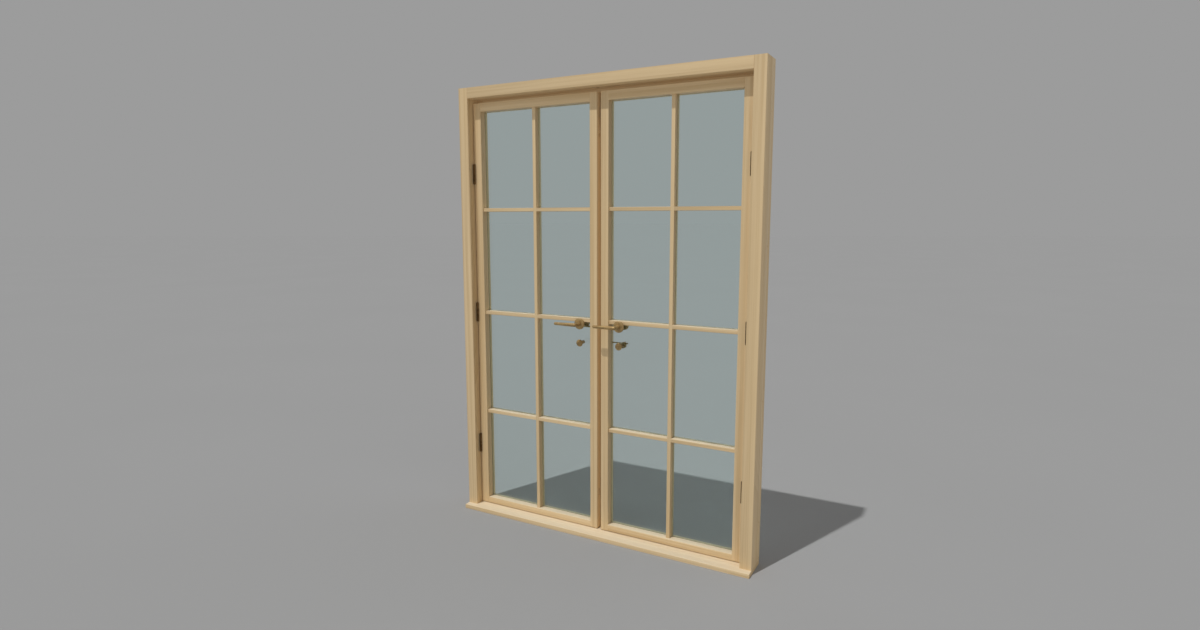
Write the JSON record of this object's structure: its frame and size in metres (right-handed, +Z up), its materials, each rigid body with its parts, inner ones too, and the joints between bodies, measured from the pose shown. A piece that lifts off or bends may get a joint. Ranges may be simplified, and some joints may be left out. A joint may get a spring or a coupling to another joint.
{
  "type": "french doors",
  "caption": "Outward-opening glazed timber french doors in their frame, with glazing bars, brass levers, a lock and flush bolts.",
  "frame": {"origin": "on the sill's underside, at mid width, in the plane of the frame's front face", "axes": "+X to the right seen from outside, +Y inwards, +Z up"},
  "size_m": [1.49, 0.1774, 2.09],
  "materials": {
    "wood": "matt, straight fine grain",
    "glass": "clear",
    "brass": "aged, satin",
    "bronze": "dark bronze",
    "rubber": "matt"
  },
  "bodies": {
    "frame": {"left_jamb": "wood", "right_jamb": "wood", "head": "wood", "sill": "wood", "frame_gasket": "rubber", "left_frame_hinges": "bronze", "right_frame_hinges": "bronze", "left_hinge_pins": "bronze", "right_hinge_pins": "bronze", "head_keep": "brass", "sill_keep": "brass"},
    "left_leaf": {"left_hinge_stile": "wood", "left_meeting_stile": "wood", "left_top_rail": "wood", "left_bottom_rail": "wood", "left_vertical_bar": "wood", "left_cross_bars": "wood", "left_middle_bar": "wood", "left_inside_bars": "wood", "left_pane": "glass", "left_beads": "wood", "left_leaf_hinges": "bronze", "left_outside_rose": "brass", "left_gear_case": "brass", "left_inside_rose": "brass", "left_lock_ring": "brass", "left_lock_plug": "brass"},
    "left_lever_set": {"left_outside_lever": "brass", "left_inside_lever": "brass", "left_spindle": "bronze", "left_pinion": "brass"},
    "left_lever_bolt": {"left_bolt": "brass"},
    "right_leaf": {"right_hinge_stile": "wood", "right_meeting_stile": "wood", "right_top_rail": "wood", "right_bottom_rail": "wood", "right_vertical_bar": "wood", "right_cross_bars": "wood", "right_middle_bar": "wood", "right_inside_bars": "wood", "right_pane": "glass", "right_beads": "wood", "right_leaf_hinges": "bronze", "right_outside_rose": "brass", "right_gear_case": "brass", "right_inside_rose": "brass", "right_lock_ring": "brass", "right_lock_case": "brass", "right_meeting_seal": "rubber"},
    "right_lever_set": {"right_outside_lever": "brass", "right_inside_lever": "brass", "right_spindle": "bronze", "right_pinion": "brass"},
    "right_lever_bolt": {"right_bolt": "brass"},
    "lock_turn": {"right_lock_cylinder": "brass"},
    "lock_bolt": {"right_lock_pin": "brass"},
    "top_bolt": {"left_top_flush_bolt": "brass"},
    "bottom_bolt": {"left_bottom_flush_bolt": "brass"}
  },
  "joints": [
    {"name": "left_leaf_hinge", "type": "hinge", "parent": "frame", "child": "left_leaf", "pos_m": [-0.6865, 0.0325, 1.014], "axis": [0, 0, -1], "range_deg": [0, 105]},
    {"name": "left_lever_turn", "type": "hinge", "parent": "left_leaf", "child": "left_lever_set", "pos_m": [-0.101, 0, 0.996], "axis": [0, -1, 0], "range_deg": [0, 90]},
    {"name": "left_bolt_slide", "type": "slide", "parent": "left_leaf", "child": "left_lever_bolt", "axis": [1, 0, 0], "range_m": [0, 0.0192]},
    {"name": "right_leaf_hinge", "type": "hinge", "parent": "frame", "child": "right_leaf", "pos_m": [0.6865, 0.0325, 1.014], "axis": [0, 0, 1], "range_deg": [0, 105]},
    {"name": "right_lever_turn", "type": "hinge", "parent": "right_leaf", "child": "right_lever_set", "pos_m": [0.101, 0, 0.996], "axis": [0, -1, 0], "range_deg": [0, 90]},
    {"name": "right_bolt_slide", "type": "slide", "parent": "right_leaf", "child": "right_lever_bolt", "axis": [-1, 0, 0], "range_m": [0, 0.0192]},
    {"name": "lock_turn", "type": "hinge", "parent": "right_leaf", "child": "lock_turn", "pos_m": [0.101, 0, 0.906], "axis": [0, -1, 0], "range_deg": [0, 180]},
    {"name": "lock_slide", "type": "slide", "parent": "right_leaf", "child": "lock_bolt", "axis": [-1, 0, 0], "range_m": [0, 0.0188]},
    {"name": "top_bolt_slide", "type": "slide", "parent": "left_leaf", "child": "top_bolt", "axis": [0, 0, 1], "range_m": [0, 0.0308]},
    {"name": "bottom_bolt_slide", "type": "slide", "parent": "left_leaf", "child": "bottom_bolt", "axis": [0, 0, -1], "range_m": [0, 0.0168]}
  ],
  "couplings": [
    {"joint": "left_bolt_slide", "follows": "left_lever_turn", "m_per_rad": 0.012},
    {"joint": "right_bolt_slide", "follows": "right_lever_turn", "m_per_rad": 0.012},
    {"joint": "lock_turn", "follows": "lock_slide", "rad_per_m": 166.67}
  ]
}
